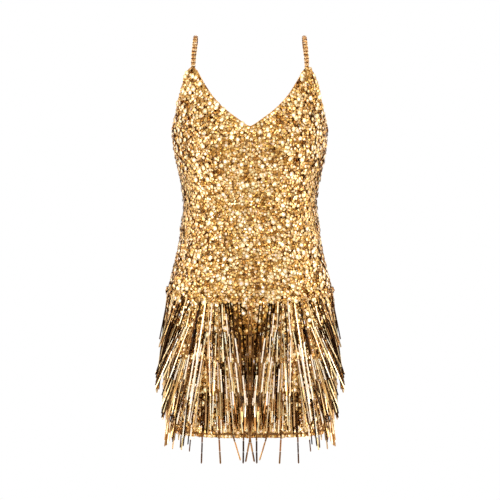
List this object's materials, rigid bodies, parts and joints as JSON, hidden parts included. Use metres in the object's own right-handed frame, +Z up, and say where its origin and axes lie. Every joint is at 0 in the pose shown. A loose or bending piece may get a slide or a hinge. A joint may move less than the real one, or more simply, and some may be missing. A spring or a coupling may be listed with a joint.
{
  "type": "sequin fringe slip dress",
  "caption": "Hollow sleeveless mini dress with a V neck, thin shoulder straps, sequinned body and tiers of bead fringe round the skirt, in the form it has when worn.",
  "frame": {"origin": "midway between the undersides of the two shoulder straps, where they turn over the wearer's shoulders", "axes": "+Z up, -Y towards the viewer of the dress's front, +X towards the wearer's left"},
  "size_m": [0.3846, 0.2651, 0.8395],
  "materials": {
    "sequin_cloth": "mesh cloth covered with shiny gold disc sequins",
    "strap_beads": "rows of small gold beads over a narrow band",
    "edge_beads": "a corded edge of small gold beads",
    "bead_strands": "polished gold bugle beads on thread"
  },
  "bodies": {
    "root": {"front_panel": "sequin_cloth", "back_panel": "sequin_cloth", "strap_left": "strap_beads", "strap_right": "strap_beads", "neckline_edging": "edge_beads", "armhole_edging_left": "edge_beads", "armhole_edging_right": "edge_beads", "back_edging": "edge_beads", "fringe_tier_1": "bead_strands", "fringe_tier_2": "bead_strands", "fringe_tier_3": "bead_strands", "fringe_tier_4": "bead_strands"}
  },
  "joints": []
}
